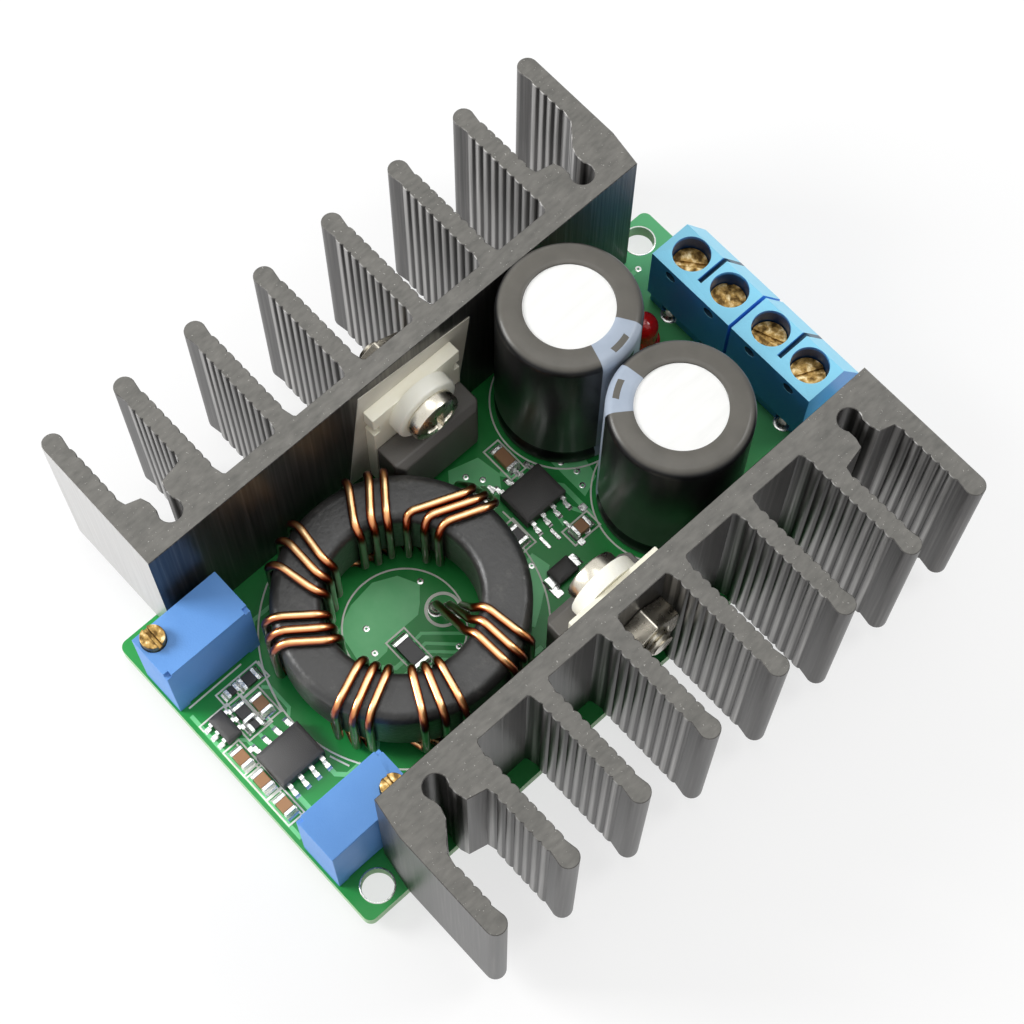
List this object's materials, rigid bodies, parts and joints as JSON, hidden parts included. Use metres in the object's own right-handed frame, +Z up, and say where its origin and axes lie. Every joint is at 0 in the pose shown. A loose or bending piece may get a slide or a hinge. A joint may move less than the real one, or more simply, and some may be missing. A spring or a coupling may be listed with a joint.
{
  "type": "boost converter module",
  "caption": "Boost converter module: finned heatsinks either side of a green board with a wound ring core choke, can capacitors, trimmers and screw terminals.",
  "frame": {"origin": "middle of the module's box in plan, on the plane that its lead tails stand on", "axes": "+Y along the heatsinks from the trimmers to the screw terminals, +Z up out of the board, +X to the right"},
  "size_m": [0.0584, 0.068, 0.0233],
  "materials": {
    "board": "green solder mask",
    "core_coating": "satin coating on the powder core",
    "copper_wire": "enamelled copper",
    "dark_anodised": "dark anodised, sawn ends paler",
    "film": "translucent insulating film",
    "white_bush": "moulded",
    "plated_steel": "zinc plated",
    "tinned_tab": "tinned",
    "tinned_copper": "tinned",
    "black_moulding": "moulded",
    "capacitor_sleeve": "shrunk sleeve, bare disc on top",
    "terminal_blue": "moulded",
    "trimmer_blue": "moulded",
    "brass_screw": "bright",
    "lamp_red": "tinted",
    "resistor_black": "glazed top",
    "ceramic_tan": "fired"
  },
  "bodies": {
    "module": {"circuit_board": "board", "choke_core": "core_coating", "choke_strand_1": "copper_wire", "choke_strand_2": "copper_wire", "choke_strand_3": "copper_wire", "heatsink_left": "dark_anodised", "heatsink_right": "dark_anodised", "insulating_film_left": "film", "insulating_film_right": "film", "insulating_bushes": "white_bush", "clamping_screws": "plated_steel", "clamping_nuts": "plated_steel", "terminal_left_housing": "terminal_blue", "terminal_right_housing": "terminal_blue", "terminal_contacts": "tinned_copper", "lamp_lens": "lamp_red", "lamp_leads": "tinned_copper", "resistor_bodies": "resistor_black", "resistor_ends": "tinned_copper", "ceramic_bodies": "ceramic_tan", "ceramic_ends": "tinned_copper", "near_chip_case": "black_moulding", "middle_chip_case": "black_moulding", "small_chip_case": "black_moulding", "diode_case": "black_moulding", "near_chip_leads": "tinned_copper", "middle_chip_leads": "tinned_copper", "small_chip_leads": "tinned_copper", "diode_tabs": "tinned_copper", "transistor_left_case": "black_moulding", "transistor_left_tab": "tinned_tab", "transistor_left_leads": "tinned_copper", "capacitor_left_body": "capacitor_sleeve", "capacitor_left_leads": "tinned_copper", "trimmer_left_body": "trimmer_blue", "trimmer_left_pins": "tinned_copper", "transistor_right_case": "black_moulding", "transistor_right_tab": "tinned_tab", "transistor_right_leads": "tinned_copper", "capacitor_right_body": "capacitor_sleeve", "capacitor_right_leads": "tinned_copper", "trimmer_right_body": "trimmer_blue", "trimmer_right_pins": "tinned_copper"},
    "clamp_screw_1_body": {"clamp_screw_1": "brass_screw"},
    "clamp_screw_2_body": {"clamp_screw_2": "brass_screw"},
    "clamp_screw_3_body": {"clamp_screw_3": "brass_screw"},
    "clamp_screw_4_body": {"clamp_screw_4": "brass_screw"},
    "clamp_cage_1_body": {"clamp_cage_1": "plated_steel"},
    "clamp_cage_2_body": {"clamp_cage_2": "plated_steel"},
    "clamp_cage_3_body": {"clamp_cage_3": "plated_steel"},
    "clamp_cage_4_body": {"clamp_cage_4": "plated_steel"},
    "trimmer_left_screw_body": {"trimmer_left_screw": "brass_screw"},
    "trimmer_right_screw_body": {"trimmer_right_screw": "brass_screw"}
  },
  "joints": [
    {"name": "clamp_screw_1_turn", "type": "hinge", "parent": "module", "child": "clamp_screw_1_body", "pos_m": [-0.00711, 0.02908, 0.01105], "axis": [0, 0, -1], "range_deg": [0, 1600]},
    {"name": "clamp_cage_1_rise", "type": "slide", "parent": "module", "child": "clamp_cage_1_body", "axis": [0, 0, 1], "range_m": [0, 0.002]},
    {"name": "clamp_screw_2_turn", "type": "hinge", "parent": "module", "child": "clamp_screw_2_body", "pos_m": [-0.00203, 0.02908, 0.01105], "axis": [0, 0, -1], "range_deg": [0, 1600]},
    {"name": "clamp_cage_2_rise", "type": "slide", "parent": "module", "child": "clamp_cage_2_body", "axis": [0, 0, 1], "range_m": [0, 0.002]},
    {"name": "clamp_screw_3_turn", "type": "hinge", "parent": "module", "child": "clamp_screw_3_body", "pos_m": [0.0034, 0.02908, 0.01105], "axis": [0, 0, -1], "range_deg": [0, 1600]},
    {"name": "clamp_cage_3_rise", "type": "slide", "parent": "module", "child": "clamp_cage_3_body", "axis": [0, 0, 1], "range_m": [0, 0.002]},
    {"name": "clamp_screw_4_turn", "type": "hinge", "parent": "module", "child": "clamp_screw_4_body", "pos_m": [0.00848, 0.02908, 0.01105], "axis": [0, 0, -1], "range_deg": [0, 1600]},
    {"name": "clamp_cage_4_rise", "type": "slide", "parent": "module", "child": "clamp_cage_4_body", "axis": [0, 0, 1], "range_m": [0, 0.002]},
    {"name": "trimmer_left_turn", "type": "hinge", "parent": "module", "child": "trimmer_left_screw_body", "pos_m": [-0.01192, -0.03229, 0.0131], "axis": [0, 0, 1], "continuous": true},
    {"name": "trimmer_right_turn", "type": "hinge", "parent": "module", "child": "trimmer_right_screw_body", "pos_m": [0.01235, -0.02567, 0.0131], "axis": [0, 0, 1], "continuous": true}
  ],
  "couplings": [
    {"joint": "clamp_screw_1_turn", "follows": "clamp_cage_1_rise", "rad_per_m": 13962},
    {"joint": "clamp_screw_2_turn", "follows": "clamp_cage_2_rise", "rad_per_m": 13962},
    {"joint": "clamp_screw_3_turn", "follows": "clamp_cage_3_rise", "rad_per_m": 13962},
    {"joint": "clamp_screw_4_turn", "follows": "clamp_cage_4_rise", "rad_per_m": 13962}
  ]
}
